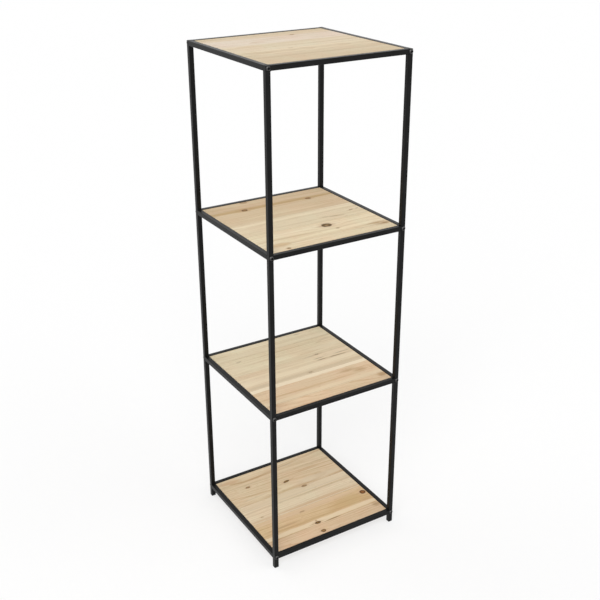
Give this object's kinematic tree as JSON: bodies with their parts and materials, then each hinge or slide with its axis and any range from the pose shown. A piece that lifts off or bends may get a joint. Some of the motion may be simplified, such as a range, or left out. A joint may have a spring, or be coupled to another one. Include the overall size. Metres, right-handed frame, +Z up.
{
  "type": "shelving tower",
  "caption": "Tall narrow open shelving tower: a frame of thin black square steel tube, with a knotty softwood board let into it at each level.",
  "frame": {"origin": "on the floor, under the centre of the tower", "axes": "+X to the right along the front, +Y to the back, +Z up"},
  "size_m": [0.35, 0.356, 1.2],
  "materials": {
    "frame_tube": "black powder coat, satin with a fine texture",
    "black_plastic": "moulded black plastic, matt",
    "softwood": "pale knotty softwood, sanded and left matt",
    "bolt_steel": "black coated steel, satin",
    "insert_steel": "plain zinc plated steel",
    "screw_steel": "zinc plated steel"
  },
  "bodies": {
    "root": {"front_left_upright": "frame_tube", "front_left_foot": "black_plastic", "front_left_cap": "black_plastic", "front_right_upright": "frame_tube", "front_right_foot": "black_plastic", "front_right_cap": "black_plastic", "back_left_upright": "frame_tube", "back_left_foot": "black_plastic", "back_left_cap": "black_plastic", "back_right_upright": "frame_tube", "back_right_foot": "black_plastic", "back_right_cap": "black_plastic", "front_rail_1": "frame_tube", "back_rail_1": "frame_tube", "left_rail_1": "frame_tube", "right_rail_1": "frame_tube", "shelf_board_1": "softwood", "frame_bolts_1": "bolt_steel", "rail_inserts_1": "insert_steel", "support_tabs_1": "frame_tube", "board_screws_1": "screw_steel", "front_rail_2": "frame_tube", "back_rail_2": "frame_tube", "left_rail_2": "frame_tube", "right_rail_2": "frame_tube", "shelf_board_2": "softwood", "frame_bolts_2": "bolt_steel", "rail_inserts_2": "insert_steel", "support_tabs_2": "frame_tube", "board_screws_2": "screw_steel", "front_rail_3": "frame_tube", "back_rail_3": "frame_tube", "left_rail_3": "frame_tube", "right_rail_3": "frame_tube", "shelf_board_3": "softwood", "frame_bolts_3": "bolt_steel", "rail_inserts_3": "insert_steel", "support_tabs_3": "frame_tube", "board_screws_3": "screw_steel", "front_rail_4": "frame_tube", "back_rail_4": "frame_tube", "left_rail_4": "frame_tube", "right_rail_4": "frame_tube", "shelf_board_4": "softwood", "frame_bolts_4": "bolt_steel", "rail_inserts_4": "insert_steel", "support_tabs_4": "frame_tube", "board_screws_4": "screw_steel"}
  },
  "joints": []
}
